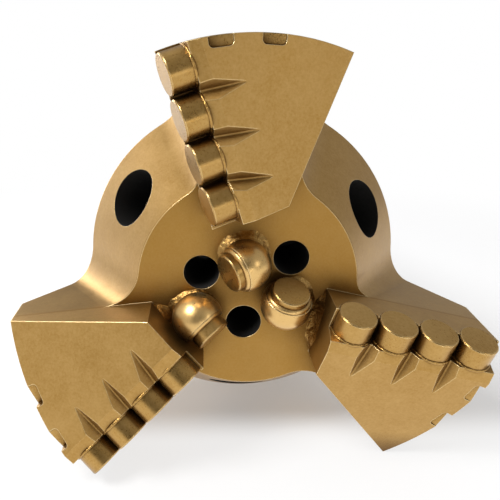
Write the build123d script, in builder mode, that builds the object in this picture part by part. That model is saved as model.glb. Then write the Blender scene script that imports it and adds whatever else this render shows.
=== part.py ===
"""A three-wing PDC drill bit, lying on its side on two wing corners and the shank.

Millimetres. The origin is the centre of the make-up shoulder, where the threaded pin begins. The bit's
axis lies along Y: the pin points to +Y and the cutting face to -Y. Heights run along the axis from the
shoulder toward the cutting face, and turns run about the axis from +X toward +Z, which is the way the bit
turns seen on its face. Each wing has its own frame: `along` runs outward beside its row of cutters, `ahead`
points the way it travels.
"""

import os
from math import cos, radians, sin, sqrt, tan

from build123d import *

# ---- driving dimensions: the bit as a whole
GAUGE_RADIUS = 85.725  # half of the 171.45 mm (6 3/4 in) hole it drills
WING_COUNT = 3
FIRST_WING_TURN = 106.7  # turn of the upper wing's cutter row
FACE_HEIGHT = 100.8  # the flat centre of the cutting face
GAUGE_DROP = 11.8  # the gauge's lower edge below the face
BACK_CONE_ANGLE = 45.0
SHANK_RADIUS = 54.0
SHANK_BLEND = 12.0  # radius between the shank and the back of the wings
SHOULDER_RADIUS = 52.2
FLAT_REACH = 47.0  # axis to each breaker flat
FLAT_BOTTOM_HEIGHT = 10.0
FLAT_LENGTH = 34.0

# ---- threaded pin, 3 1/2 in regular rotary shouldered connection
PIN_LENGTH = 95.25
PIN_BASE_RADIUS = 43.656
PIN_BASE_LENGTH = 12.7
PIN_TAPER = 0.25  # on diameter
PIN_LARGE_RADIUS = 44.45  # the thread crests, carried to the shoulder
THREAD_DEPTH = 2.993
PIN_END_CHAMFER = 1.5
BORE_RADIUS = 19.05
BORE_DROP = 34.8  # the coned end's point below the face

# ---- crown: the slots between the wings
CORE_FACE_RADIUS = 39.2
CORE_SLOPE = 0.598  # radius gained per millimetre down from the face
CORE_DROP = 45.8  # how far the slots run down from the face
LEADING_FACE_BLEND = 7.5
LEADING_BOTTOM_BLEND = 16.0
TRAILING_BLEND = 15.0

# ---- wings, in their own frames
WING_END_WALL = 1.08  # steel inward of the innermost cutter
WING_ROOT_DEPTH = 12.0  # how far the wings' tops reach down into the crown
LEADING_WALL = 4.6
TRAILING_FOOT = -20.9  # the trailing wall's start, at the wing's inner end
TRAILING_ANGLE = -41.1
TRAILING_OVERLAP = 18.0  # the wall's line run back into the core
LAND_RISE = 22.3  # flat land behind the cutters, above the face
LAND_BACK = -9.65
RELIEF_ANGLE = 22.2
OUTLINE_MARGIN = 18.3  # the wings' outlines are closed this far past the gauge

# ---- cutters
CUTTER_RADIUS = 6.72
CUTTER_LENGTH = 8.0
CUTTER_CHAMFER = 0.35
BRAZE_GAP = 0.05
BACK_RAKE = 17.1
CUTTER_GAUGE_GAP = 0.605  # from the outermost cutter's rim to the gauge
CUTTER_SPACING = 0.66  # between neighbours in a row
CUTTER_AHEAD = 4.1
CUTTER_RISES = (18.6, 18.9, 18.6, 18.1)  # face centres above the face, from the gauge inward
PAD_DROP = 1.0  # the pad's top below the cutters' axes

# ---- relief grooves between the cutters
GROOVE_HALF_ANGLE = 45.0
GROOVE_ROUND = 0.6  # radius along its bottom
GROOVE_TIP_BACK = -19.6
GROOVE_TIP_SHIFTS = (2.05, 2.95, 3.85)  # tips, inward of the gaps between two cutters
GROOVE_MOUTH_SHIFT = 0.7  # mouth's middle, inward of that gap
GROOVE_MOUTH_DEPTH = 2.6

# ---- gauge inserts
INSERT_TURNS = (-10.3, -21.4)  # from the wing's `along` direction
INSERT_WIDTH = 7.4
INSERT_DEPTH = 3.4
INSERT_LENGTH = 18.0
INSERT_CORNER = 1.4
INSERT_RECESS = 1.6  # below the relief surface
INSERT_GAP = 0.05

# ---- ball carriers and their cutters at the centre
BALL_WALL = 2.3  # steel round the cutter at the ball's middle
BALL_SHOULDER = 3.6  # ball's centre to the flat turned round its cutter
BALL_RISE = 7.2  # the balls' centres above the face
BALL_PLACES = ((9.7, -1.6), (19.3, -6.5), (13.9, -1.7))  # along, ahead, one on each wing's frame
BALL_CUTTER_REACHES = (7.2, 8.6, 7.0)  # balls' centres to the cutters' faces
BALL_BACK_RAKES = (29.0, 24.5, 25.0)

# ---- water courses
WATER_RADIUS = 6.35
WATER_PLACES = ((17.1, 163.6), (18.3, 32.6), (14.6, 264.5))  # distance from the axis, turn
PORT_RADIUS = 11.1
PORT_DROP = 19.1  # the side ports' mouths below the face
PORT_TURN = 26.4
PORT_LEAN = 39.3  # from square to the axis, toward the face
PORT_DEPTH = 37.0

# ---- sizes that follow from those above
BIT_AXIS = Axis((0, 0, 0), (0, -1, 0))
UP = Vector(0, -1, 0)
PITCH_TURN = 360 / WING_COUNT
GAUGE_BOTTOM_HEIGHT = FACE_HEIGHT - GAUGE_DROP
BORE_TOP_HEIGHT = FACE_HEIGHT - BORE_DROP
CORE_BOTTOM_HEIGHT = FACE_HEIGHT - CORE_DROP
PORT_HEIGHT = FACE_HEIGHT - PORT_DROP
LAND_HEIGHT = FACE_HEIGHT + LAND_RISE
BALL_HEIGHT = FACE_HEIGHT + BALL_RISE
BALL_RADIUS = CUTTER_RADIUS + BALL_WALL
CUTTER_COUNT = len(CUTTER_RISES)
CUTTER_PITCH = 2 * CUTTER_RADIUS + CUTTER_SPACING
OUTER_CUTTER = GAUGE_RADIUS - CUTTER_GAUGE_GAP - CUTTER_RADIUS
CUTTER_HEIGHT = FACE_HEIGHT + CUTTER_RISES[0]
SEAT_DEPTH = CUTTER_LENGTH + BRAZE_GAP
POCKET_RADIUS = CUTTER_RADIUS + BRAZE_GAP
WING_INNER_END = OUTER_CUTTER - (CUTTER_COUNT - 1) * CUTTER_PITCH - CUTTER_RADIUS - WING_END_WALL
OUTLINE_REACH = GAUGE_RADIUS + OUTLINE_MARGIN
CLEAR = 5.0  # how far a cut runs past the face it opens


def station(height: float, turn: float = 0.0) -> Plane:
    """The plane square to the axis at a height, its x pointing outward at a turn."""
    outward = (cos(radians(turn)), 0, sin(radians(turn)))
    return Plane(origin=UP * height, x_dir=outward, z_dir=UP)


def meridian(turn: float = 0.0) -> Plane:
    """The plane through the axis at a turn: x is the distance from the axis, y the height."""
    outward = Vector(cos(radians(turn)), 0, sin(radians(turn)))
    return Plane(origin=(0, 0, 0), x_dir=outward, z_dir=outward.cross(UP))


def wing_point(wing: int, along: float, ahead: float, height: float) -> Vector:
    """A point given in a wing's own frame."""
    plane = station(height, FIRST_WING_TURN + wing * PITCH_TURN)
    return plane.from_local_coords(Vector(along, ahead, 0))


def wing_profile(wing: int, along: float) -> Plane:
    """The plane across a wing at a distance along it: x points ahead, y is the height."""
    outward = wing_point(wing, 1, 0, 0)
    ahead = wing_point(wing, 0, 1, 0)
    return Plane(origin=outward * along, x_dir=ahead, z_dir=outward)


def cutter_plane(wing: int, along: float, ahead: float, height: float, rake: float) -> Plane:
    """The face of a cutter: z leaves it the way it travels, leaned by its back rake."""
    forward = wing_point(wing, 0, 1, 0) * cos(radians(rake)) + UP * sin(radians(rake))
    return Plane(
        origin=wing_point(wing, along, ahead, height),
        x_dir=wing_point(wing, 1, 0, 0),
        z_dir=forward,
    )


def core_radius(height: float) -> float:
    """Radius of the crown between the wings."""
    return CORE_FACE_RADIUS + CORE_SLOPE * (FACE_HEIGHT - height)


def relief_height(ahead: float) -> float:
    """Height of the surface that falls away behind the land."""
    return LAND_HEIGHT - (LAND_BACK - ahead) * tan(radians(RELIEF_ANGLE))


def pad_height(ahead: float) -> float:
    """Height of the pad that the cutters are let into, parallel to their axes."""
    return CUTTER_HEIGHT - PAD_DROP + (ahead - CUTTER_AHEAD) * tan(radians(BACK_RAKE))


def seat_ahead(height: float) -> float:
    """Where the wall behind the cutters stands at a height, square to their axes."""
    rise = (height - CUTTER_HEIGHT) * sin(radians(BACK_RAKE))
    return CUTTER_AHEAD - (SEAT_DEPTH + rise) / cos(radians(BACK_RAKE))


def pad_foot() -> float:
    """Where the pad meets the wall behind the cutters."""
    rake = radians(BACK_RAKE)
    return CUTTER_AHEAD - (SEAT_DEPTH - PAD_DROP * sin(rake)) * cos(rake)


def cutter_along(index: int) -> float:
    """Distance along the wing of a cutter's middle, counted from the gauge inward."""
    return OUTER_CUTTER - index * CUTTER_PITCH


def trailing_point(distance: float) -> tuple:
    """A point on the trailing wall, in a wing's frame, at a distance from its inner end."""
    angle = radians(TRAILING_ANGLE)
    return (WING_INNER_END + distance * cos(angle), TRAILING_FOOT + distance * sin(angle))


def port_plane(number: int) -> Plane:
    """The mouth of a side port: z runs out along its axis."""
    across = station(PORT_HEIGHT, PORT_TURN + number * PITCH_TURN)
    lean = radians(PORT_LEAN)
    return Plane(
        origin=across.from_local_coords(Vector(core_radius(PORT_HEIGHT), 0, 0)),
        x_dir=across.y_dir,
        z_dir=across.x_dir * cos(lean) + UP * sin(lean),
    )


def insert_foot(wing: int, turn: float) -> Plane:
    """The lower end of a gauge insert: x points outward at the insert's turn."""
    top = relief_height(GAUGE_RADIUS * sin(radians(turn))) - INSERT_RECESS
    return station(top - INSERT_LENGTH, FIRST_WING_TURN + wing * PITCH_TURN + turn)


def make_cutter(plane: Plane, name: str) -> Part:
    """A cylindrical cutter with its face on a plane and its body behind it."""
    with BuildPart() as cutter:
        with BuildSketch(plane):
            Circle(CUTTER_RADIUS)
        extrude(amount=-CUTTER_LENGTH)
        face_edge = cutter.edges().sort_by(Axis(plane.origin, plane.z_dir))[-1]
        chamfer(face_edge, CUTTER_CHAMFER)
    cutter.part.label = name
    return cutter.part


# ==== planes of every cutter
blade_planes = [
    cutter_plane(wing, cutter_along(index), CUTTER_AHEAD, FACE_HEIGHT + rise, BACK_RAKE)
    for wing in range(WING_COUNT)
    for index, rise in enumerate(CUTTER_RISES)
]
ball_centres = [
    wing_point(wing, along, ahead, BALL_HEIGHT) for wing, (along, ahead) in enumerate(BALL_PLACES)
]
ball_planes = []
for wing, (place, reach, rake) in enumerate(zip(BALL_PLACES, BALL_CUTTER_REACHES, BALL_BACK_RAKES)):
    ahead = place[1] + reach * cos(radians(rake))
    height = BALL_HEIGHT + reach * sin(radians(rake))
    ball_planes.append(cutter_plane(wing, place[0], ahead, height, rake))

# ==== turned blank: pin, shank, back cone and gauge
back_cone_foot = GAUGE_BOTTOM_HEIGHT - (GAUGE_RADIUS - SHANK_RADIUS) * tan(radians(BACK_CONE_ANGLE))
bevel = SHANK_RADIUS - SHOULDER_RADIUS
pin_root_radius = PIN_LARGE_RADIUS - THREAD_DEPTH
pin_neck_radius = pin_root_radius - PIN_BASE_LENGTH * PIN_TAPER / 2
pin_end_radius = pin_root_radius - PIN_LENGTH * PIN_TAPER / 2
with BuildPart() as blank:
    with BuildSketch(meridian()) as blank_profile:
        with BuildLine():
            Polyline(
                (0, -PIN_LENGTH),
                (pin_end_radius - PIN_END_CHAMFER, -PIN_LENGTH),
                (pin_end_radius, -PIN_LENGTH + PIN_END_CHAMFER),
                (pin_neck_radius, -PIN_BASE_LENGTH),
                (PIN_BASE_RADIUS, -PIN_BASE_LENGTH),
                (PIN_BASE_RADIUS, 0),
                (SHOULDER_RADIUS, 0),
                (SHANK_RADIUS, bevel),
                (SHANK_RADIUS, back_cone_foot),
                (GAUGE_RADIUS, GAUGE_BOTTOM_HEIGHT),
                (GAUGE_RADIUS, LAND_HEIGHT),
                (0, LAND_HEIGHT),
                close=True,
            )
        make_face()
        shank_top = blank_profile.vertices().sort_by_distance((SHANK_RADIUS, back_cone_foot))[0]
        fillet(shank_top, SHANK_BLEND)
    revolve(axis=BIT_AXIS)

# ==== one wing above the face: outline, land, relief, pad and grooves
with BuildPart() as wing_top:
    with BuildSketch(station(FACE_HEIGHT - WING_ROOT_DEPTH, FIRST_WING_TURN)):
        with BuildLine():
            Polyline(
                (WING_INNER_END, LEADING_WALL),
                (OUTLINE_REACH, LEADING_WALL),
                trailing_point(OUTLINE_REACH - WING_INNER_END),
                trailing_point(0),
                close=True,
            )
        make_face()
    extrude(amount=LAND_RISE + WING_ROOT_DEPTH)
    with BuildSketch(wing_profile(0, 0)):
        with BuildLine():
            front = LEADING_WALL + CLEAR
            Polyline(
                (front, pad_height(front)),
                (pad_foot(), pad_height(pad_foot())),
                (seat_ahead(LAND_HEIGHT), LAND_HEIGHT),
                (LAND_BACK, LAND_HEIGHT),
                (-OUTLINE_REACH, relief_height(-OUTLINE_REACH)),
                (-OUTLINE_REACH, LAND_HEIGHT + CLEAR),
                (front, LAND_HEIGHT + CLEAR),
                close=True,
            )
        make_face()
    extrude(amount=OUTLINE_REACH + CLEAR, mode=Mode.SUBTRACT)
    for index, tip_shift in enumerate(GROOVE_TIP_SHIFTS):
        gap = cutter_along(index) - CUTTER_PITCH / 2
        mouth_height = LAND_HEIGHT - GROOVE_MOUTH_DEPTH
        mouth = wing_point(0, gap - GROOVE_MOUTH_SHIFT, seat_ahead(LAND_HEIGHT), mouth_height)
        tip = wing_point(0, gap - tip_shift, GROOVE_TIP_BACK, relief_height(GROOVE_TIP_BACK))
        run = tip - mouth
        spread = LAND_RISE * tan(radians(GROOVE_HALF_ANGLE))
        with BuildSketch(Plane(origin=mouth - run, x_dir=UP.cross(run), z_dir=run)) as groove:
            with BuildLine():
                Polyline((0, 0), (spread, LAND_RISE), (-spread, LAND_RISE), close=True)
            make_face()
            fillet(groove.vertices().sort_by(Axis.Y)[0], GROOVE_ROUND)
        extrude(amount=run.length * 2, mode=Mode.SUBTRACT)

# ==== crown: the core and the wings' walls below the face, blended in the slots
trailing_slope = radians(TRAILING_ANGLE)
with BuildPart() as crown:
    for height, leading_blend in (
        (CORE_BOTTOM_HEIGHT, LEADING_BOTTOM_BLEND),
        (FACE_HEIGHT, LEADING_FACE_BLEND),
    ):
        radius = core_radius(height)
        wing_outline = (
            (0, LEADING_WALL),
            (OUTLINE_REACH, LEADING_WALL),
            trailing_point(OUTLINE_REACH - WING_INNER_END),
            trailing_point(-TRAILING_OVERLAP),
        )
        with BuildSketch(station(height, FIRST_WING_TURN)) as section:
            Circle(radius)
            for wing in range(WING_COUNT):
                corners = [Vector(*point).rotate(Axis.Z, wing * PITCH_TURN) for point in wing_outline]
                with BuildLine():
                    Polyline(*corners, close=True)
                make_face()
            for wall, blend in ((0, leading_blend), (1, TRAILING_BLEND)):
                for wing in range(WING_COUNT):
                    leading_foot = (sqrt(radius**2 - LEADING_WALL**2), LEADING_WALL)
                    trailing_foot = (radius * cos(trailing_slope), radius * sin(trailing_slope))
                    foot = Vector(*(leading_foot, trailing_foot)[wall]).rotate(Axis.Z, wing * PITCH_TURN)
                    fillet(section.vertices().sort_by_distance(foot)[0], blend)
    loft(ruled=True)

# ==== body: everything above the blank's surface turned away, then drilled and pocketed
with BuildPart() as bit_body:
    add(crown.part)
    for wing in range(WING_COUNT):
        add(wing_top.part.rotate(BIT_AXIS, wing * PITCH_TURN))
    with BuildSketch(station(-PIN_LENGTH)):
        Circle(OUTLINE_REACH)
    extrude(amount=PIN_LENGTH + CORE_BOTTOM_HEIGHT)
    add(blank.part, mode=Mode.INTERSECT)

    with BuildSketch(meridian()):  # mud bore with its coned end
        with BuildLine():
            Polyline(
                (0, -PIN_LENGTH),
                (BORE_RADIUS, -PIN_LENGTH),
                (BORE_RADIUS, BORE_TOP_HEIGHT - BORE_RADIUS / 2),
                (0, BORE_TOP_HEIGHT),
                close=True,
            )
        make_face()
    revolve(axis=BIT_AXIS, mode=Mode.SUBTRACT)

    for distance, turn in WATER_PLACES:
        with BuildSketch(station(BORE_TOP_HEIGHT - BORE_RADIUS, turn)):
            with Locations((distance, 0)):
                Circle(WATER_RADIUS)
        extrude(amount=BORE_DROP + BORE_RADIUS + CLEAR, mode=Mode.SUBTRACT)

    for number in range(WING_COUNT):  # side ports, run out past their mouths
        with BuildSketch(port_plane(number).offset(-PORT_DEPTH)):
            Circle(PORT_RADIUS)
        extrude(amount=PORT_DEPTH + PORT_RADIUS, mode=Mode.SUBTRACT)

    for turn in (0, 180):  # breaker flats on the shank
        with BuildSketch(station(FLAT_BOTTOM_HEIGHT, turn)):
            with Locations((FLAT_REACH, 0)):
                Rectangle(SHANK_RADIUS, SHANK_RADIUS * 2, align=(Align.MIN, Align.CENTER))
        extrude(amount=FLAT_LENGTH, mode=Mode.SUBTRACT)

    for plane in blade_planes:  # cutter pockets, open ahead
        with BuildSketch(plane.offset(-SEAT_DEPTH)):
            Circle(POCKET_RADIUS)
        extrude(amount=SEAT_DEPTH + CUTTER_RADIUS, mode=Mode.SUBTRACT)

    for centre in ball_centres:
        with Locations(centre):
            Sphere(BALL_RADIUS + BRAZE_GAP, mode=Mode.SUBTRACT)

    for wing in range(WING_COUNT):  # gauge insert slots, open at the top
        for turn in INSERT_TURNS:
            with BuildSketch(insert_foot(wing, turn).offset(-INSERT_GAP)):
                with Locations((GAUGE_RADIUS - INSERT_DEPTH - INSERT_GAP, 0)):
                    slot_width = INSERT_WIDTH + 2 * INSERT_GAP
                    slot = Rectangle(INSERT_DEPTH * 2, slot_width, align=(Align.MIN, Align.CENTER))
                fillet(slot.vertices().group_by(Axis.X)[0], INSERT_CORNER)
            extrude(amount=INSERT_LENGTH * 2, mode=Mode.SUBTRACT)
bit_body.part.label = "bit_body"

# ==== balls: a sphere with a flat shoulder, bored for its centre cutter
balls = []
for wing, (centre, plane) in enumerate(zip(ball_centres, ball_planes)):
    with BuildPart() as ball:
        with Locations(centre):
            Sphere(BALL_RADIUS)
        with BuildSketch(plane.offset(BALL_SHOULDER - BALL_CUTTER_REACHES[wing])):
            Circle(BALL_RADIUS)
        extrude(amount=BALL_RADIUS, mode=Mode.SUBTRACT)
        with BuildSketch(plane.offset(-SEAT_DEPTH)):
            Circle(POCKET_RADIUS)
        extrude(amount=SEAT_DEPTH + BALL_RADIUS, mode=Mode.SUBTRACT)
    ball.part.label = f"ball_carrier_{wing + 1}"
    balls.append(ball.part)

# ==== cutters
cutters = [
    make_cutter(plane, f"wing_{number // CUTTER_COUNT + 1}_cutter_{number % CUTTER_COUNT + 1}")
    for number, plane in enumerate(blade_planes)
]
cutters += [
    make_cutter(plane, f"centre_cutter_{wing + 1}") for wing, plane in enumerate(ball_planes)
]

# ==== gauge inserts
inserts = []
for wing in range(WING_COUNT):
    for order, turn in enumerate(INSERT_TURNS):
        with BuildPart() as insert:
            with BuildSketch(insert_foot(wing, turn)):
                with Locations((GAUGE_RADIUS - INSERT_DEPTH, 0)):
                    bar = Rectangle(INSERT_DEPTH * 2, INSERT_WIDTH, align=(Align.MIN, Align.CENTER))
                fillet(bar.vertices().group_by(Axis.X)[0], INSERT_CORNER)
                Circle(GAUGE_RADIUS, mode=Mode.INTERSECT)
            extrude(amount=INSERT_LENGTH)
        insert.part.label = f"gauge_insert_{wing + 1}_{order + 1}"
        inserts.append(insert.part)

# ==== every piece to its own file
os.makedirs("parts", exist_ok=True)
for piece in [bit_body.part, *balls, *cutters, *inserts]:
    export_step(piece, f"parts/{piece.label}.step")
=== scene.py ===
"""Looks of a three-wing PDC drill bit on its side: gold paint, weld beads, the pin's thread and the studio.

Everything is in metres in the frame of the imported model: the origin is the centre of the make-up shoulder,
+Y runs out of the pin, -Y out of the cutting face and +Z is up. Turns run about the axis from +X toward +Z.
"""

import logging
import math
from dataclasses import dataclass, field
from enum import Enum

import bpy
from mathutils import Euler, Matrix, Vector


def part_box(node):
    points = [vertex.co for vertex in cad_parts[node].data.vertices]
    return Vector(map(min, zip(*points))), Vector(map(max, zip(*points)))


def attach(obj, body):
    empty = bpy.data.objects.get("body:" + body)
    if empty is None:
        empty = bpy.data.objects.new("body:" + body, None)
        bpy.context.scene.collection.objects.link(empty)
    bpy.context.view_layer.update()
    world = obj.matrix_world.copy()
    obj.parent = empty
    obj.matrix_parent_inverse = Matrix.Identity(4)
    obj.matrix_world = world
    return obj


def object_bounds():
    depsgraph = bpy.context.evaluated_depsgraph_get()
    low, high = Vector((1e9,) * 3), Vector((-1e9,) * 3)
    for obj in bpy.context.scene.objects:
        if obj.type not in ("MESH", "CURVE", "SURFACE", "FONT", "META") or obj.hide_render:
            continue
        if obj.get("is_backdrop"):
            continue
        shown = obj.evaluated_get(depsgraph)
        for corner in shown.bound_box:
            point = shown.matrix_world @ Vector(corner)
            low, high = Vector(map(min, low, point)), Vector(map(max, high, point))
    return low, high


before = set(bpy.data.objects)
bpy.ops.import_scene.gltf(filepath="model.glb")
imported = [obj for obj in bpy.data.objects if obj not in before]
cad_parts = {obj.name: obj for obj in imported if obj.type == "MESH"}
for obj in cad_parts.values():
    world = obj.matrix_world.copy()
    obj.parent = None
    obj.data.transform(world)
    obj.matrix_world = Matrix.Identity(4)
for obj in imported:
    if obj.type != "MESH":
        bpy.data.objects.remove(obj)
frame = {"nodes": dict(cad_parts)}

LOG = logging.getLogger("drill_bit")
MM = 0.001
ROOT_BODY = "root"
FACE_SIDE = Vector((0.0, -1.0, 0.0))
WHITE = (1.0, 1.0, 1.0, 1.0)
SEED_STEP = (0.37, 0.11)


# ---------------------------------------------------------------- node trees
class Signal:
    """A node's output that plain arithmetic can be written on."""

    def __init__(self, tree: "Tree", socket: bpy.types.NodeSocket) -> None:
        """Hold an output.

        Args:
            tree: The tree that the output belongs to.
            socket: The output itself.
        """
        self.tree = tree
        self.socket = socket

    def math(self, operation: str, *others: "Signal | float") -> "Signal":
        """Pass this value and others through a Math node.

        Args:
            operation: The node's operation.
            others: Its second and third values.

        Returns:
            The result.
        """
        inputs = dict(enumerate((self, *others)))
        return self.tree.node("ShaderNodeMath", {"operation": operation}, inputs).out("Value")

    def __add__(self, other: "Signal | float") -> "Signal":
        """Sum."""
        return self.math("ADD", other)

    __radd__ = __add__

    def __sub__(self, other: "Signal | float") -> "Signal":
        """Difference."""
        return self.math("SUBTRACT", other)

    def __rsub__(self, other: float) -> "Signal":
        """Difference from a number."""
        return self.math("MULTIPLY", -1.0).math("ADD", other)

    def __mul__(self, other: "Signal | float") -> "Signal":
        """Product."""
        return self.math("MULTIPLY", other)

    __rmul__ = __mul__

    def __truediv__(self, other: "Signal | float") -> "Signal":
        """Quotient."""
        return self.math("DIVIDE", other)

    def __lt__(self, other: "Signal | float") -> "Signal":
        """One where this is less, and zero elsewhere."""
        return self.math("LESS_THAN", other)

    def __gt__(self, other: "Signal | float") -> "Signal":
        """One where this is more, and zero elsewhere."""
        return self.math("GREATER_THAN", other)

    def ramp(self, low: float, high: float) -> "Signal":
        """Rise smoothly from 0 at one value to 1 at another.

        Args:
            low: Where the rise starts.
            high: Where it ends.

        Returns:
            The risen value.
        """
        settings = {"interpolation_type": "SMOOTHSTEP"}
        inputs = {"Value": self, "From Min": low, "From Max": high}
        return self.tree.node("ShaderNodeMapRange", settings, inputs).out("Result")


class Made:
    """A node just made, whose outputs are asked for by name."""

    def __init__(self, tree: "Tree", node: bpy.types.Node) -> None:
        """Hold a node.

        Args:
            tree: The tree that the node is in.
            node: The node itself.
        """
        self.tree = tree
        self.node = node

    def out(self, name: str) -> Signal:
        """Give an enabled output by its name."""
        for socket in self.node.outputs:
            if socket.name == name and socket.enabled:
                return Signal(self.tree, socket)
        raise KeyError(f"{self.node.bl_idname} has no output {name}")


class Tree:
    """A node tree, for a surface or for geometry, and the one way nodes are added to it."""

    def __init__(self, tree: bpy.types.NodeTree) -> None:
        """Hold a node tree."""
        self.tree = tree

    def node(self, kind: str, settings: dict | None = None, inputs: dict | None = None) -> Made:
        """Add a node.

        Args:
            kind: The node's type.
            settings: Its properties, set before its inputs.
            inputs: Values or signals by input name or place.

        Returns:
            The node.
        """
        node = self.tree.nodes.new(kind)
        for name, value in (settings or {}).items():
            setattr(node, name, value)
        for name, value in (inputs or {}).items():
            socket = self._input(node, name)
            if isinstance(value, Signal):
                self.tree.links.new(value.socket, socket)
            else:
                socket.default_value = value
        return Made(self, node)

    @staticmethod
    def _input(node: bpy.types.Node, name: str | int) -> bpy.types.NodeSocket:
        """Find an enabled input by its name or its place."""
        if isinstance(name, int):
            return node.inputs[name]
        for socket in node.inputs:
            if socket.name == name and socket.enabled:
                return socket
        raise KeyError(f"{node.bl_idname} has no input {name}")

    def vector(self, operation: str, *values: Signal | tuple) -> Signal:
        """Pass vectors through a Vector Math node.

        Args:
            operation: The node's operation.
            values: Its vectors.

        Returns:
            The resulting vector, or the resulting number where the operation gives one.
        """
        made = self.node("ShaderNodeVectorMath", {"operation": operation}, dict(enumerate(values)))
        return made.out("Value" if operation in ("DOT_PRODUCT", "LENGTH") else "Vector")

    def scaled(self, vector: Signal | tuple, amount: Signal | float) -> Signal:
        """Make a vector longer or shorter.

        Args:
            vector: The vector.
            amount: How many times as long it becomes.

        Returns:
            The new vector.
        """
        inputs = {0: vector, "Scale": amount}
        return self.node("ShaderNodeVectorMath", {"operation": "SCALE"}, inputs).out("Vector")

    def split(self, vector: Signal) -> tuple[Signal, Signal, Signal]:
        """Take a vector apart.

        Args:
            vector: The vector.

        Returns:
            Its three parts.
        """
        made = self.node("ShaderNodeSeparateXYZ", {}, {"Vector": vector})
        return made.out("X"), made.out("Y"), made.out("Z")

    def joined(self, across: Signal | float, along: Signal | float, up: Signal | float) -> Signal:
        """Put a vector together.

        Args:
            across: Its X part.
            along: Its Y part.
            up: Its Z part.

        Returns:
            The vector.
        """
        return self.node("ShaderNodeCombineXYZ", {}, {"X": across, "Y": along, "Z": up}).out("Vector")

    def noise(self, place: Signal, size: float, detail: float = 2.0, roughness: float = 0.5) -> Signal:
        """Add a noise field.

        Args:
            place: The coordinates that it is laid on.
            size: The size of its features in metres.
            detail: Its octaves.
            roughness: The strength of its finer octaves.

        Returns:
            A value from 0 to 1.
        """
        inputs = {"Vector": place, "Scale": 1 / size, "Detail": detail, "Roughness": roughness}
        made = self.node("ShaderNodeTexNoise", {"noise_dimensions": "3D"}, inputs)
        return Signal(self, made.node.outputs[0])

    def blend(self, factor: Signal | float, first: Signal | tuple, second: Signal | tuple) -> Signal:
        """Mix two colours.

        Args:
            factor: How much of the second shows.
            first: The first colour.
            second: The second colour.

        Returns:
            The mixed colour.
        """
        settings = {"data_type": "RGBA", "blend_type": "MIX"}
        first, second = (end if isinstance(end, Signal) else (*end[:3], 1.0) for end in (first, second))
        made = self.node("ShaderNodeMix", settings, {"Factor": factor, "A": first, "B": second})
        return made.out("Result")

    def distance_to_line(self, place: Signal, point: Vector, direction: Vector) -> Signal:
        """Measure how far a place is from a line.

        Args:
            place: The place.
            point: A point on the line.
            direction: The line's direction.

        Returns:
            The distance.
        """
        offset = self.vector("SUBTRACT", place, tuple(point))
        return self.vector("LENGTH", self.vector("CROSS_PRODUCT", offset, tuple(direction.normalized())))


def fresh_tree(owner: bpy.types.Material | bpy.types.World) -> Tree:
    """Empty the node tree of a material or a world.

    Args:
        owner: The material or the world.

    Returns:
        Its tree.
    """
    owner.use_nodes = True
    owner.node_tree.nodes.clear()
    return Tree(owner.node_tree)


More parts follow.
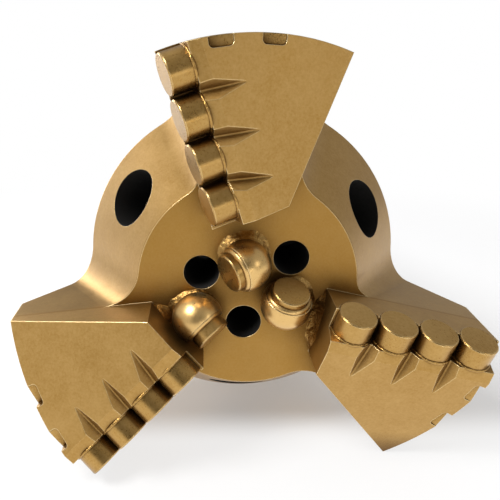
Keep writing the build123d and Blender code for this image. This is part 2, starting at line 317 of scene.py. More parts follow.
# ---------------------------------------------------------------- the bit's own places
@dataclass(frozen=True)
class BitLayout:
    """Where the features stand that the finishes and the welds follow."""

    wing_count: int = 3
    cutters_on_wing: int = 4
    first_wing_turn: float = 106.7
    face_height: float = 100.8 * MM
    core_face_radius: float = 39.2 * MM
    core_slope: float = 0.598
    wing_inner_end: float = 28.3 * MM
    trailing_foot: float = -20.9 * MM
    leading_wall: float = 4.6 * MM
    foot_weld_gaps: tuple[float, float, float] = (0.4 * MM, 1.0 * MM, 0.6 * MM)
    back_rake: float = 17.1
    cutter_length: float = 8.0 * MM
    bore_radius: float = 19.05 * MM
    water_radius: float = 6.35 * MM
    water_places: tuple = ((17.1 * MM, 163.6), (18.3 * MM, 32.6), (14.6 * MM, 264.5))
    port_radius: float = 11.1 * MM
    port_height: float = 81.7 * MM
    port_turn: float = 26.4
    port_lean: float = 39.3
    hole_depth: float = 40.0 * MM
    hole_shade_slack: float = 0.12 * MM
    bore_rim: float = 5 * MM
    water_rim: float = -0.3 * MM
    port_rim: float = 2.5 * MM
    ball_shoulder: float = 3.6 * MM
    braze_inset: float = 0.1 * MM
    ball_cutter_reaches: tuple = (7.2 * MM, 8.6 * MM, 7.0 * MM)
    ball_back_rakes: tuple = (29.0, 24.5, 25.0)

    def outward(self, turn: float) -> Vector:
        """Give the direction away from the axis at a turn."""
        return Vector((math.cos(math.radians(turn)), 0.0, math.sin(math.radians(turn))))

    def turned(self, first: float, wing: int) -> float:
        """Give the turn of one of a set of like features, one to a wing."""
        return first + 360 / self.wing_count * wing

    def wing_turn(self, wing: int) -> float:
        """Give the turn at which a wing stands."""
        return self.turned(self.first_wing_turn, wing)

    def cutter_axis(self, wing: int, rake: float) -> Vector:
        """Give the way a cutter faces.

        Args:
            wing: The wing, from 0.
            rake: The cutter's back rake.

        Returns:
            The direction out of its face.
        """
        ahead = self.outward(self.wing_turn(wing) + 90)
        return ahead * math.cos(math.radians(rake)) + FACE_SIDE * math.sin(math.radians(rake))

    def wing_place(self, wing: int, along: float, ahead: float, height: float) -> Vector:
        """Give a place from a wing's own frame.

        Args:
            wing: The wing, from 0.
            along: Distance outward beside its cutters.
            ahead: Distance the way it travels.
            height: Height above the shoulder.

        Returns:
            The place.
        """
        turn = self.wing_turn(wing)
        return self.outward(turn) * along + self.outward(turn + 90) * ahead + FACE_SIDE * height

    def port_lines(self) -> list[tuple[Vector, Vector]]:
        """Give a mouth and an outward direction for each side port."""
        radius = self.core_face_radius + self.core_slope * (self.face_height - self.port_height)
        lines = []
        for wing in range(self.wing_count):
            outward = self.outward(self.turned(self.port_turn, wing))
            mouth = outward * radius + FACE_SIDE * self.port_height
            lines.append((mouth, outward + FACE_SIDE * math.tan(math.radians(self.port_lean))))
        return lines

    def water_lines(self) -> list[tuple[Vector, Vector]]:
        """Give a mouth and an outward direction for each hole in the face."""
        face = FACE_SIDE * self.face_height
        return [(self.outward(turn) * reach + face, FACE_SIDE) for reach, turn in self.water_places]


# ---------------------------------------------------------------- finishes
class Surface(Enum):
    """What lies under the gold paint."""

    MACHINED = "machined"
    GROUND = "ground"
    POLISHED = "polished"
    WELDED = "welded"


# How much of the paint's grain shows on each surface, and how deep its slower waves are.
RELIEF = {
    Surface.MACHINED: (1.0, 0.03 * MM),
    Surface.WELDED: (1.0, 0.03 * MM),
    Surface.GROUND: (0.5, 0.008 * MM),
    Surface.POLISHED: (0.05, 0.008 * MM),
}


@dataclass(frozen=True)
class GoldPaint:
    """Satin gold paint, as it lies on one kind of metal surface.

    A surface with a layout is the body's: its face is painted darker as shade, its sides are glossier and
    the walls of its bores are painted near black as shade. Every surface gets painted highlights on its
    edges and painted shade in its recesses.
    """

    name: str
    surface: Surface
    colour: tuple[float, float, float] = (0.46, 0.282, 0.092)
    # The deep colour serves both the random mottle of the paint and the painted shade on the recessed face.
    deep_tone_and_shade_colour: tuple[float, float, float] = (0.29, 0.145, 0.020)
    # Painted highlight colour, blended in along rounded edges.
    painted_highlight_colour: tuple[float, float, float] = (0.95, 0.76, 0.42)
    # Painted shade colour, blended in where ambient occlusion finds a recess.
    painted_shade_colour: tuple[float, float, float] = (0.10, 0.045, 0.008)
    # Near-black painted shade for the walls inside the bores and holes.
    hole_shade_colour: tuple[float, float, float] = (0.004, 0.003, 0.002)
    tone_mix: tuple[float, float, float] = (0.9, 0.5, 0.35)
    tone_middle: float = 0.25
    tone_gain: float = 1.3
    painted_highlight_share: float = 0.75
    edge_in_shade: float = 0.7
    edge_bends: tuple[float, float] = (0.01, 0.11)
    edge_width: float = 0.5 * MM
    painted_shade_share: float = 0.9
    shade_mask_depths: tuple[float, float] = (0.06, 0.6)
    shade_mask_reach: float = 12 * MM
    patchiness: float = 1.0
    face_shade_share: float = 0.55
    face_band: float = 0.6 * MM
    side_gloss: float = 0.08
    roughness: float = 0.44
    rough_grain: float = 0.2
    rough_cloud: float = 0.1
    edge_polish: float = 0.1
    hole_shade_roughness: float = 0.5
    metallic: float = 0.92
    coat: float = 0.03
    coat_roughness: float = 0.28
    grain: float = 0.9 * MM
    grain_depth: float = 0.06 * MM
    smear_size: float = 3.2 * MM
    cloud_size: float = 14 * MM
    crinkle_size: float = 1.6 * MM
    crinkle_depth: float = 0.5 * MM
    dimple_size: float = 5.5 * MM
    dimple_depth: float = 0.02 * MM
    layout: BitLayout | None = None

    def material(self) -> bpy.types.Material:
        """Build the paint as a material.

        Returns:
            The material.
        """
        made = bpy.data.materials.new(self.name)
        tree = fresh_tree(made)
        place = tree.node("ShaderNodeTexCoord").out("Object")
        rounded = tree.node("ShaderNodeBevel", {"samples": 6}, {"Radius": self.edge_width}).out("Normal")
        bend = tree.vector("DOT_PRODUCT", rounded, tree.node("ShaderNodeNewGeometry").out("Normal"))
        # Ambient occlusion marks the recesses that get painted shade below.
        sky = tree.node("ShaderNodeAmbientOcclusion", {"samples": 4}, {"Distance": self.shade_mask_reach})
        shade_mask = (1.0 - sky.out("AO")).ramp(*self.shade_mask_depths)
        edge = (1.0 - bend).ramp(*self.edge_bends) * (1.0 - shade_mask * self.edge_in_shade)

        speckle = tree.noise(place, self.grain, detail=3.0, roughness=0.7) - 0.5
        cloud = tree.noise(place, self.cloud_size, detail=3.0) - 0.5
        smear = tree.noise(place, self.smear_size, detail=4.0, roughness=0.6) - 0.5
        of_grain, of_cloud, of_smear = self.tone_mix
        depth = speckle * of_grain + cloud * of_cloud + smear * of_smear
        share = (self.tone_middle - depth * self.tone_gain) * self.patchiness
        colour = tree.blend(share.math("MAXIMUM", 0.0), self.colour, self.deep_tone_and_shade_colour)
        rough = speckle * self.rough_grain + cloud * self.rough_cloud + self.roughness
        rough = rough - edge * self.edge_polish
        if self.layout is not None:
            _, along, _ = tree.split(place)
            # Painted shade: the recessed face between the wings is darkened toward the deep colour.
            on_face = (along + self.layout.face_height).math("ABSOLUTE") < self.face_band
            colour = tree.blend(on_face * self.face_shade_share, colour, self.deep_tone_and_shade_colour)
            rough = rough - (along > self.face_band - self.layout.face_height) * self.side_gloss
        # Painted shade: recesses, grooves and the corners round cutters, balls and wings are darkened in
        # colour.
        colour = tree.blend(shade_mask * self.painted_shade_share, colour, self.painted_shade_colour)
        # Painted highlight: rounded edges are lightened in colour.
        colour = tree.blend(edge * self.painted_highlight_share, colour, self.painted_highlight_colour)
        inputs = {
            "Base Color": colour,
            "Roughness": rough,
            "Metallic": self.metallic,
            "Coat Weight": self.coat,
            "Coat Roughness": self.coat_roughness,
            "Normal": self._relief(tree, place, speckle, smear, rounded),
        }
        if self.layout is not None:
            # Painted shade: the walls inside the bore, the water holes and the side ports are painted near
            # black.
            bare = self._inside_bores(tree, place, self.layout)
            inputs |= {
                "Base Color": tree.blend(bare, colour, self.hole_shade_colour),
                "Roughness": rough + bare * self.hole_shade_roughness,
                "Metallic": (1.0 - bare) * self.metallic,
                "Coat Weight": (1.0 - bare) * self.coat,
            }
        shader = tree.node("ShaderNodeBsdfPrincipled", {}, inputs).out("BSDF")
        tree.node("ShaderNodeOutputMaterial", {}, {"Surface": shader})
        return made

    def _relief(self, tree: Tree, place: Signal, speckle: Signal, smear: Signal, rounded: Signal) -> Signal:
        """Add the paint's relief to the rounded edges.

        Args:
            tree: The material's tree.
            place: The place on the surface.
            speckle: The paint's grain.
            smear: Its slower waves.
            rounded: The normal with its edges rounded.

        Returns:
            The normal.
        """
        grain_share, smear_depth = RELIEF[self.surface]
        height = speckle * (self.grain_depth * grain_share) + smear * smear_depth
        if self.surface is Surface.WELDED:
            crinkle = tree.noise(place, self.crinkle_size, detail=3.0, roughness=0.55)
            height = height + crinkle * self.crinkle_depth
        if self.surface is Surface.POLISHED:
            height = height + tree.noise(place, self.dimple_size, detail=1.0) * self.dimple_depth
        inputs = {"Height": height, "Strength": 1.0, "Distance": 1.0, "Normal": rounded}
        return tree.node("ShaderNodeBump", {}, inputs).out("Normal")

    @staticmethod
    def _inside_bores(tree: Tree, place: Signal, layout: BitLayout) -> Signal:
        """Mark the walls of the water courses, which are painted near black as shade.

        Args:
            tree: The material's tree.
            place: The place on the surface.
            layout: Where the holes are.

        Returns:
            One on those walls, and zero elsewhere.
        """
        slack = layout.hole_shade_slack
        _, along, _ = tree.split(place)
        bore = tree.distance_to_line(place, Vector(), FACE_SIDE) < layout.bore_radius + slack
        inside = bore * (along > layout.bore_rim - layout.face_height)
        water = [(*line, layout.water_radius, layout.water_rim) for line in layout.water_lines()]
        ports = [(*line, layout.port_radius, layout.port_rim) for line in layout.port_lines()]
        for mouth, outward, radius, rim in water + ports:
            near = tree.distance_to_line(place, mouth, outward) < radius + slack
            offset = tree.vector("SUBTRACT", place, tuple(mouth))
            deep = tree.vector("DOT_PRODUCT", offset, tuple(outward.normalized()))
            inside = inside.math("MAXIMUM", near * (deep < rim) * (deep > -layout.hole_depth))
        return inside


@dataclass(frozen=True)
class StudioWhite:
    """The pale floor.

    Its shares say how much of its own white glow shows over its shading: least under the bit, which paints
    the floor darker there on top of the real shadow, and all of it far away. Surfaces that mirror it see it
    brightest close to the bit, but dimmed under the bit as painted shade.
    """

    name: str = "studio_floor"
    colour: tuple[float, float, float] = (0.88, 0.88, 0.885)
    shadow_share: float = 0.22
    near_share: float = 0.76
    shadow_front: tuple[float, float] = (72 * MM, 98 * MM)
    clear_from: tuple[float, float] = (0.17, 0.42)
    mirrored_light: float = 1.3
    mirrored_until: tuple[float, float] = (0.26, 0.62)
    mirrored_far_share: float = 0.3

    def material(self) -> bpy.types.Material:
        """Build the floor's material.

        Returns:
            The material.
        """
        made = bpy.data.materials.new(self.name)
        tree = fresh_tree(made)
        matte = tree.node("ShaderNodeBsdfDiffuse", {}, {"Color": (*self.colour, 1.0)}).out("BSDF")
        glow, sheen = (
            tree.node("ShaderNodeEmission", {}, {"Color": WHITE, "Strength": strength}).out("Emission")
            for strength in (1.0, self.mirrored_light)
        )
        path = tree.node("ShaderNodeLightPath")
        place = tree.node("ShaderNodeTexCoord").out("Object")
        _, along, _ = tree.split(place)
        ahead = along * -1.0
        # Painted shadow: the floor's glow, and its glow in reflections, is lowered under the bit.
        clear_of_painted_shadow = ahead.ramp(*self.shadow_front)
        share = clear_of_painted_shadow * (self.near_share - self.shadow_share) + self.shadow_share
        share = share + tree.vector("LENGTH", place).ramp(*self.clear_from) * (1.0 - share)
        close = 1.0 - ahead.ramp(*self.mirrored_until) * (1.0 - self.mirrored_far_share)
        mirrored = path.out("Is Glossy Ray") * close * (clear_of_painted_shadow * (1.0 - self.shadow_share) + self.shadow_share)
        laid = tree.node("ShaderNodeMixShader", {}, {0: mirrored, 1: matte, 2: sheen}).out("Shader")
        seen = path.out("Is Camera Ray") * share
        shader = tree.node("ShaderNodeMixShader", {}, {0: seen, 1: laid, 2: glow})
        tree.node("ShaderNodeOutputMaterial", {}, {"Surface": shader.out("Shader")})
        return made


# ---------------------------------------------------------------- geometry made by rule
class GrownPiece:
    """A piece that a geometry tree makes, turned into a plain mesh."""

    def __init__(self, name: str, material: bpy.types.Material) -> None:
        """Start a geometry tree.

        Args:
            name: The piece's name.
            material: Its finish.
        """
        self.name = name
        self.material = material
        self.group = bpy.data.node_groups.new(name + "_rule", "GeometryNodeTree")
        self.tree = Tree(self.group)
        self.sizes: dict[str, float | int] = {}
        self.group.interface.new_socket("Geometry", in_out="OUTPUT", socket_type="NodeSocketGeometry")
        self.inlet: bpy.types.Node | None = None

    def declare(self, sizes: dict[str, float | int]) -> None:
        for name, value in sizes.items():
            kind = "NodeSocketInt" if isinstance(value, int) else "NodeSocketFloat"
            self.group.interface.new_socket(name, in_out="INPUT", socket_type=kind)
        self.sizes = sizes
        self.inlet = self.group.nodes.new("NodeGroupInput")

    def given(self, name: str) -> Signal:
        """Give a declared input as a signal."""
        return Signal(self.tree, self.inlet.outputs[name])

    def moved(self, mesh: Signal, place: Signal) -> Signal:
        """Put a mesh's points at computed places."""
        inputs = {"Geometry": mesh, "Position": place}
        return self.tree.node("GeometryNodeSetPosition", {}, inputs).out("Geometry")

    def finish(self, geometry: Signal) -> bpy.types.Object:
        """Close the tree, turn its result into a mesh and hang it on the bit.

        Args:
            geometry: The tree's result.

        Returns:
            The finished object.
        """
        solid = self.tree.node("GeometryNodeRealizeInstances", {}, {"Geometry": geometry}).out("Geometry")
        dressed = self.tree.node("GeometryNodeSetMaterial", {}, {"Geometry": solid})
        dressed.node.inputs["Material"].default_value = self.material
        outlet = self.group.nodes.new("NodeGroupOutput")
        self.group.links.new(dressed.out("Geometry").socket, outlet.inputs[0])
        seed = bpy.data.objects.new(self.name + "_seed", bpy.data.meshes.new(self.name + "_seed"))
        bpy.context.collection.objects.link(seed)
        modifier = seed.modifiers.new("rule", "NODES")
        modifier.node_group = self.group
        for item in self.group.interface.items_tree:
            if item.in_out == "INPUT" and item.name in self.sizes:
                modifier[item.identifier] = self.sizes[item.name]
        seed.update_tag()
        graph = bpy.context.evaluated_depsgraph_get()
        graph.update()
        mesh = bpy.data.meshes.new_from_object(seed.evaluated_get(graph))
        bpy.data.objects.remove(seed)
        mesh.name = self.name
        for polygon in mesh.polygons:
            polygon.use_smooth = True
        piece = bpy.data.objects.new(self.name, mesh)
        bpy.context.collection.objects.link(piece)
        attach(piece, ROOT_BODY)
        LOG.info("%s: %d faces", self.name, len(mesh.polygons))
        return piece


@dataclass
class PinThread:
    """The coarse right-hand thread on the tapered pin."""

    material: bpy.types.Material
    start: float = 13.4 * MM
    end: float = 93.4 * MM
    pitch: float = 5.08 * MM
    root_radius_at_shoulder: float = 41.457 * MM
    taper: float = 0.125
    depth: float = 2.75 * MM
    crest_share: float = 0.2
    run_out: float = 1.6 * MM
    proud: float = 0.12 * MM
    sunk: float = 0.08 * MM
    around: int = 144
    rows_per_turn: int = 14

    def build(self) -> bpy.types.Object:
        """Make the thread's turns as one skin over the pin.

        Returns:
            The thread.
        """
        piece = GrownPiece("pin_thread", self.material)
        length = self.end - self.start
        piece.declare(
            {
                "Around": self.around,
                "Rows": int(length / self.pitch * self.rows_per_turn),
                "Length": length,
                "Pitch": self.pitch,
                "Depth": self.depth,
                "Root radius": self.root_radius_at_shoulder - self.start * self.taper,
                "Taper": self.taper,
            }
        )
        tree = piece.tree
        tube = tree.node(
            "GeometryNodeMeshCylinder",
            {"fill_type": "NONE"},
            {
                "Vertices": piece.given("Around"),
                "Side Segments": piece.given("Rows"),
                "Radius": 1.0,
                "Depth": piece.given("Length"),
            },
        ).out("Mesh")
        across, down, run = tree.split(tree.node("GeometryNodeInputPosition").out("Position"))
        run = run + piece.given("Length") * 0.5
        turn = down.math("ARCTAN2", across) / (2 * math.pi)
        wave = (run / piece.given("Pitch") - turn).math("FRACT")
        flank = (wave - 0.5).math("ABSOLUTE") * 2.0
        crest = (1.0 - flank).ramp(0.0, 1.0 - self.crest_share)
        ends = run.ramp(0.0, self.run_out) * (piece.given("Length") - run).ramp(0.0, self.run_out)
        radius = piece.given("Root radius") - run * piece.given("Taper")
        radius = radius + (crest * piece.given("Depth") + self.proud) * ends - self.sunk
        angle = turn * (2 * math.pi)
        place = tree.joined(angle.math("COSINE") * radius, run + self.start, angle.math("SINE") * radius)
        outside = tree.node("GeometryNodeFlipFaces", {}, {"Mesh": piece.moved(tube, place)}).out("Mesh")
        return piece.finish(outside)


@dataclass
class WeldFillet:
    """Rough weld metal that fills the corner between the face and something that stands on it.

    The far share is how full the weld is where it is thinnest. The root is how deep it lies under the face.
    """

    name: str
    material: bpy.types.Material
    layout: BitLayout
    seed: int
    height: float
    reach: float
    far_share: float = 0.35
    root: float = 0.7 * MM
    lump: float = 0.3 * MM
    crinkle: float = 0.07 * MM
    lump_size: float = 4.5 * MM
    crinkle_size: float = 1.3 * MM
    lift: float = 1.6
    hollow: float = 1.7
    hole_margin: float = 0.35 * MM
    seam: float = 0.01 * MM
    closed_from: float = 0.99
    stations: int = 150
    rows: int = 26
    underside_share: float = 0.2

    def _track(self, tree: Tree, share: Signal) -> tuple[Signal, Signal, Signal]:
        """Follow the corner.

        Args:
            tree: The piece's tree.
            share: How far along the corner, from 0 to 1.

        Returns:
            The corner's place on the face, the way out from it, and how full the weld is there.
        """
        raise NotImplementedError

    def build(self) -> bpy.types.Object:
        """Make the weld as one closed skin.

        Returns:
            The weld.
        """
        piece = GrownPiece(self.name, self.material)
        piece.declare(
            {
                "Stations": self.stations,
                "Rows": self.rows,
                "Height": self.height,
                "Reach": self.reach,
                "Lump": self.lump,
                "Crinkle": self.crinkle,
            }
        )
        tree = piece.tree
        sheet = tree.node(
            "GeometryNodeMeshGrid",
            {},
            {
                "Size X": 1.0,
                "Size Y": 1.0,
                "Vertices X": piece.given("Stations"),
                "Vertices Y": piece.given("Rows"),
            },
        ).out("Mesh")
        across, along, _ = tree.split(tree.node("GeometryNodeInputPosition").out("Position"))
        share, around = across + 0.5, along + 0.5
        foot, outward, fullness = self._track(tree, share)
        over = (around / (1.0 - self.underside_share)).math("MINIMUM", 1.0)
        under = ((around - 1.0) / self.underside_share + 1.0).math("MAXIMUM", 0.0)
        slope = (1.0 - over).math("POWER", self.hollow)
        out_from = fullness * piece.given("Reach") * over * (1.0 - under)
        closing = under > self.closed_from
        rise = fullness * piece.given("Height") * slope.math("MAXIMUM", closing)
        rise = rise + self.root * slope - self.root
        place = tree.vector("ADD", foot, tree.scaled(outward, out_from))
        place = tree.vector("ADD", place, tree.scaled(tuple(FACE_SIDE), rise))
        shifted = tree.vector("ADD", place, (self.seed * SEED_STEP[0], self.seed * SEED_STEP[1], 0.0))
        swell = (tree.noise(shifted, self.lump_size) - 0.5) * 2.0 * piece.given("Lump")
        fine = tree.noise(shifted, self.crinkle_size, detail=3.0, roughness=0.6)
        swell = swell + (fine - 0.5) * 2.0 * piece.given("Crinkle")
        middle = over * (1.0 - over) * 4.0 * (1.0 - under)
        way = tree.vector("ADD", outward, tuple(FACE_SIDE * self.lift))
        place = tree.vector("ADD", place, tree.scaled(way, swell * middle))
        for mouth, _ in self.layout.water_lines():
            place = self._keep_clear(tree, place, mouth)
        inputs = {"Geometry": piece.moved(sheet, place), "Distance": self.seam}
        return piece.finish(tree.node("GeometryNodeMergeByDistance", {}, inputs).out("Geometry"))

    def _keep_clear(self, tree: Tree, place: Signal, mouth: Vector) -> Signal:
        """Push weld metal out of a hole in the face.

        Args:
            tree: The weld's tree.
            place: Its places.
            mouth: The middle of the hole's mouth.

        Returns:
            The places, none of them over the hole.
        """
        offset = tree.vector("SUBTRACT", place, tuple(mouth))
        flat = tree.vector("MULTIPLY", offset, (1.0, 0.0, 1.0))
        clear = self.layout.water_radius + self.hole_margin
        short = (clear - tree.vector("LENGTH", flat)).math("MAXIMUM", 0.0)
        return tree.vector("ADD", place, tree.scaled(tree.vector("NORMALIZE", flat), short))


@dataclass
class BallWeld(WeldFillet):
    """The weld round a ball, fullest on the side of its wing."""

    centre: Vector = field(default_factory=Vector)
    radius: float = 7.0 * MM
    full_turn: float = 0.0
    facing: tuple[float, float] = (-0.5, 0.8)

    def _track(self, tree: Tree, share: Signal) -> tuple[Signal, Signal, Signal]:
        """Go round the ball."""
        turn = share * (2 * math.pi)
        outward = tree.joined(turn.math("COSINE"), 0.0, turn.math("SINE"))
        foot = tree.vector("ADD", tree.scaled(outward, self.radius), tuple(self.centre))
        fullness = (turn - math.radians(self.full_turn)).math("COSINE").ramp(*self.facing)
        return foot, outward, fullness * (1.0 - self.far_share) + self.far_share


@dataclass
class FootWeld(WeldFillet):
    """The weld along the foot of a wing's inner end."""

    start: Vector = field(default_factory=Vector)
    end: Vector = field(default_factory=Vector)
    outward: Vector = field(default_factory=Vector)
    run_out: float = 0.25

    def _track(self, tree: Tree, share: Signal) -> tuple[Signal, Signal, Signal]:
        """Go along the foot."""
        foot = tree.vector("ADD", tree.scaled(tuple(self.end - self.start), share), tuple(self.start))
        outward = tree.joined(*self.outward)
        ends = share.ramp(0.0, self.run_out) * (1.0 - share).ramp(0.0, self.run_out)
        return foot, outward, ends * (1.0 - self.far_share) + self.far_share


@dataclass
class BrazeRings:
    """The narrow beads of braze round a set of cutters, each at a place and on an axis."""

    name: str
    material: bpy.types.Material
    rings: list[tuple[Vector, Vector]]
    ring_radius: float = 6.75 * MM
    thickness: float = 0.55 * MM
    unevenness: float = 0.5 * MM
    lump_size: float = 2.6 * MM
    around: int = 72
    section: int = 10
    seed: int = 5

    def build(self) -> bpy.types.Object:
        """Make every ring as one piece.

        Returns:
            The rings.
        """
        piece = GrownPiece(self.name, self.material)
        piece.declare(
            {
                "Around": self.around,
                "Section": self.section,
                "Ring radius": self.ring_radius,
                "Thickness": self.thickness,
                "Unevenness": self.unevenness,
            }
        )
        tree = piece.tree
        circles = [
            tree.node(
                "GeometryNodeCurvePrimitiveCircle",
                {"mode": "RADIUS"},
                {"Resolution": piece.given(count), "Radius": piece.given(radius)},
            ).out("Curve")
            for count, radius in (("Around", "Ring radius"), ("Section", "Thickness"))
        ]
        curves = {"Curve": circles[0], "Profile Curve": circles[1]}
        skin = tree.node("GeometryNodeCurveToMesh", {}, curves).out("Mesh")
        join = tree.node("GeometryNodeJoinGeometry")
        for centre, axis in self.rings:
            turn = axis.to_track_quat("Z", "Y").to_euler("XYZ")
            inputs = {"Geometry": skin, "Translation": tuple(centre), "Rotation": tuple(turn)}
            laid = tree.node("GeometryNodeTransform", {}, inputs).out("Geometry")
            piece.group.links.new(laid.socket, join.node.inputs["Geometry"])
        spot = tree.node("GeometryNodeInputPosition").out("Position")
        shifted = tree.vector("ADD", spot, (self.seed * SEED_STEP[0], 0.0, 0.0))
        swell = (tree.noise(shifted, self.lump_size) - 0.5) * piece.given("Unevenness")
        push = tree.scaled(tree.node("GeometryNodeInputNormal").out("Normal"), swell)
        inputs = {"Geometry": join.out("Geometry"), "Offset": push}
        return piece.finish(tree.node("GeometryNodeSetPosition", {}, inputs).out("Geometry"))


# ---------------------------------------------------------------- the bit
@dataclass
class DrillBit:
    """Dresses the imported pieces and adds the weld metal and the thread."""

    nodes: dict
    layout: BitLayout = field(default_factory=BitLayout)
    finishes: dict[str, bpy.types.Material] = field(default_factory=dict)

    def dress(self) -> None:
        """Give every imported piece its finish."""
        self.finishes = {
            "body": GoldPaint("body_paint", Surface.MACHINED, layout=self.layout).material(),
            "cutter": GoldPaint(
                "cutter_paint", Surface.GROUND, roughness=0.3, grain_depth=0.004 * MM
            ).material(),
            "ball": GoldPaint(
                "ball_paint",
                Surface.POLISHED,
                colour=(0.66, 0.43, 0.165),
                patchiness=0.25,
                roughness=0.3,
            ).material(),
            "insert": GoldPaint("insert_paint", Surface.GROUND, roughness=0.3).material(),
        }
        for name, piece in self.nodes.items():
            kind = next((key for key in ("cutter", "ball", "insert") if key in name), "body")
            self._put_on(piece, self.finishes[kind])
            LOG.info("%s: %s", name, self.finishes[kind].name)

    @staticmethod
    def _put_on(piece: bpy.types.Object, material: bpy.types.Material) -> None:
        """Give a piece one material in all its slots."""
        if not piece.material_slots:
            piece.data.materials.append(material)
        for slot in piece.material_slots:
            slot.link = "OBJECT"
            slot.material = material

    def add_welds(self) -> None:
        """Fill the corners round the balls and at the wings' inner ends, and braze the cutters."""
        # The weld paint keeps only a trace of the painted highlight on its edges.
        weld = GoldPaint(
            "weld_paint", Surface.WELDED, roughness=0.3, edge_width=0.2 * MM, painted_highlight_share=0.1
        ).material()
        layout = self.layout
        face = layout.face_height
        wings = range(layout.wing_count)
        for wing in wings:
            low, high = (Vector(corner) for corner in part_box(f"ball_carrier_{wing + 1}"))
            middle = (low + high) / 2
            turn = layout.wing_turn(wing)
            BallWeld(
                f"ball_weld_{wing + 1}",
                weld,
                layout,
                seed=wing + 1,
                height=3.2 * MM,
                reach=6.0 * MM,
                centre=Vector((middle.x, -face, middle.z)),
                full_turn=turn,
            ).build()
            gap, trailing_gap, leading_gap = layout.foot_weld_gaps
            inner = layout.wing_inner_end + gap
            FootWeld(
                f"wing_weld_{wing + 1}",
                weld,
                layout,
                seed=wing + 11,
                height=5.0 * MM,
                reach=5.0 * MM,
                start=layout.wing_place(wing, inner, layout.trailing_foot + trailing_gap, face),
                end=layout.wing_place(wing, inner, layout.leading_wall - leading_gap, face),
                outward=-layout.outward(turn),
            ).build()
        backs = [self._cutter_back(wing, index) for wing in wings for index in range(layout.cutters_on_wing)]
        BrazeRings("cutter_braze", weld, backs).build()
        BrazeRings(
            "ball_braze",
            self.finishes["ball"],
            [self._ball_shoulder(wing) for wing in wings],
            thickness=1.3 * MM,
            unevenness=0.1 * MM,
            section=16,
        ).build()

    def _ball_shoulder(self, wing: int) -> tuple[Vector, Vector]:
        """Find the middle of the flat round a ball's cutter, and the cutter's axis."""
        layout = self.layout
        low, high = (Vector(corner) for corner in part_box(f"centre_cutter_{wing + 1}"))
        axis = layout.cutter_axis(wing, layout.ball_back_rakes[wing])
        bare = layout.ball_cutter_reaches[wing] - layout.ball_shoulder
        return (low + high) / 2 + axis * (layout.cutter_length / 2 - bare), axis

    def _cutter_back(self, wing: int, index: int) -> tuple[Vector, Vector]:
        """Find the middle of a cutter's back, and its axis. Cutters count from the gauge inward."""
        layout = self.layout
        low, high = (Vector(corner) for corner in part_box(f"wing_{wing + 1}_cutter_{index + 1}"))
        axis = layout.cutter_axis(wing, layout.back_rake)
        return (low + high) / 2 - axis * (layout.cutter_length / 2 - layout.braze_inset), axis

    def add_thread(self) -> None:
        """Cut the thread on the pin."""
        paint = GoldPaint("thread_paint", Surface.GROUND, roughness=0.34, edge_width=0.2 * MM).material()
        PinThread(paint).build()


# ---------------------------------------------------------------- studio
@dataclass
class Softbox:
    """A flat lamp that faces the bit."""

    name: str
    direction: tuple[float, float, float]
    width: float
    height: float
    power: float
    distance: float = 0.9

    def build(self, target: Vector) -> None:
        """Hang the lamp.

        Args:
            target: What it faces.
        """
        lamp = bpy.data.lights.new(self.name, "AREA")
        lamp.shape = "RECTANGLE"
        lamp.size = self.width
        lamp.size_y = self.height
        lamp.energy = self.power
        hung = bpy.data.objects.new(self.name, lamp)
        way = Vector(self.direction).normalized()
        hung.location = target + way * self.distance
        hung.rotation_euler = way.to_track_quat("Z", "Y").to_euler()
        bpy.context.collection.objects.link(hung)


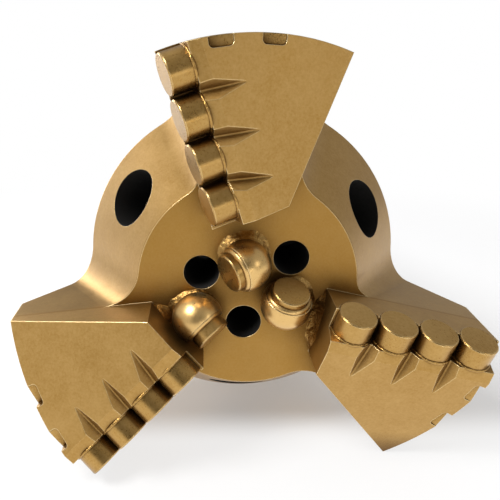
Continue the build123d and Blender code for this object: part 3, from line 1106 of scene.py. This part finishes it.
@dataclass
class Studio:
    """Pale floor, plain soft light and the camera.

    The world light is what falls on surfaces. What they mirror is dimmer, with a paler wall on each side and
    a dark room in front.
    """

    camera_place: tuple[float, float, float] = (-14.5 * MM, -319.9 * MM, 85.2 * MM)
    camera_turn: tuple[float, float, float] = (71.80, 0.81, -0.13)
    lens: float = 47.2
    shift_across: float = 0.09
    floor_reach: float = 6.0
    world_light: float = 0.58
    mirrored_light: float = 0.3
    left_light: float = 0.48
    left_edge: tuple[float, float] = (0.15, 0.7)
    right_light: float = 0.22
    right_edge: tuple[float, float] = (0.15, 0.8)
    front_shade: float = 0.8
    front_edge: tuple[float, float] = (0.72, 0.95)
    lamps: tuple[Softbox, ...] = (
        Softbox("key_softbox", (-0.525, -0.431, 0.732), width=0.36, height=0.36, power=7.4),
        Softbox("fill_softbox", (0.708, -0.641, 0.268), width=0.2, height=0.2, power=0.36),
        Softbox("top_softbox", (0.1, 0.35, 1.0), width=0.9, height=0.9, power=0.8, distance=1.0),
        Softbox("side_strip", (-0.68, 0.65, 0.18), width=0.2, height=0.8, power=3.2),
        Softbox("low_softbox", (0.35, -0.93, 0.0), width=0.4, height=0.12, power=0.35),
    )

    def build(self, lowest: float, middle: Vector) -> None:
        """Make the studio round the bit.

        Args:
            lowest: Height of the bit's lowest point, where the floor lies.
            middle: The middle of the bit.
        """
        self._floor(lowest)
        self._world()
        for lamp in self.lamps:
            lamp.build(middle)
        self._camera()
        bpy.context.scene.view_settings.view_transform = "Standard"

    def _floor(self, level: float) -> None:
        """Lay the floor at a level."""
        reach = self.floor_reach
        sides = ((-1, -1), (1, -1), (1, 1), (-1, 1))
        places = [(reach * right, reach * back, level) for right, back in sides]
        mesh = bpy.data.meshes.new("floor")
        mesh.from_pydata(places, [], [(0, 1, 2, 3)])
        mesh.materials.append(StudioWhite().material())
        floor = bpy.data.objects.new("floor", mesh)
        bpy.context.collection.objects.link(floor)
        floor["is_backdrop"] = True

    def _world(self) -> None:
        """Fill the room with white light."""
        world = bpy.data.worlds.new("studio")
        bpy.context.scene.world = world
        tree = fresh_tree(world)
        path = tree.node("ShaderNodeLightPath")
        seen = path.out("Is Camera Ray").math("MAXIMUM", path.out("Is Transmission Ray"))
        aside, along, _ = tree.split(tree.node("ShaderNodeTexCoord").out("Generated"))
        front = (along * -1.0).ramp(*self.front_edge)
        left = (aside * -1.0).ramp(*self.left_edge) * self.left_light
        walls = left + aside.ramp(*self.right_edge) * self.right_light
        glossy = path.out("Is Glossy Ray")
        mirrored = glossy * (walls + self.mirrored_light) * (1.0 - front * self.front_shade)
        strength = (mirrored + (1.0 - glossy) * self.world_light).math("MAXIMUM", seen)
        light = tree.node("ShaderNodeBackground", {}, {"Color": WHITE, "Strength": strength})
        tree.node("ShaderNodeOutputWorld", {}, {"Surface": light.out("Background")})

    def _camera(self) -> None:
        """Set the camera up and make it the scene's own."""
        data = bpy.data.cameras.new("camera")
        data.sensor_width = 36.0
        data.lens = self.lens
        data.shift_x = self.shift_across
        data.clip_start = 0.01
        data.clip_end = 20.0
        camera = bpy.data.objects.new("camera", data)
        camera.location = self.camera_place
        camera.rotation_euler = Euler([math.radians(turn) for turn in self.camera_turn], "XYZ")
        bpy.context.collection.objects.link(camera)
        bpy.context.scene.camera = camera


def main() -> None:
    """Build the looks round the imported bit."""
    logging.basicConfig(level=logging.INFO, format="%(name)s %(message)s")
    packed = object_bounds()
    bit = DrillBit(frame["nodes"])
    bit.dress()
    bit.add_welds()
    bit.add_thread()
    low, high = (Vector(corner) for corner in packed)
    Studio().build(low.z, (low + high) / 2)


if __name__ == "__main__":
    main()
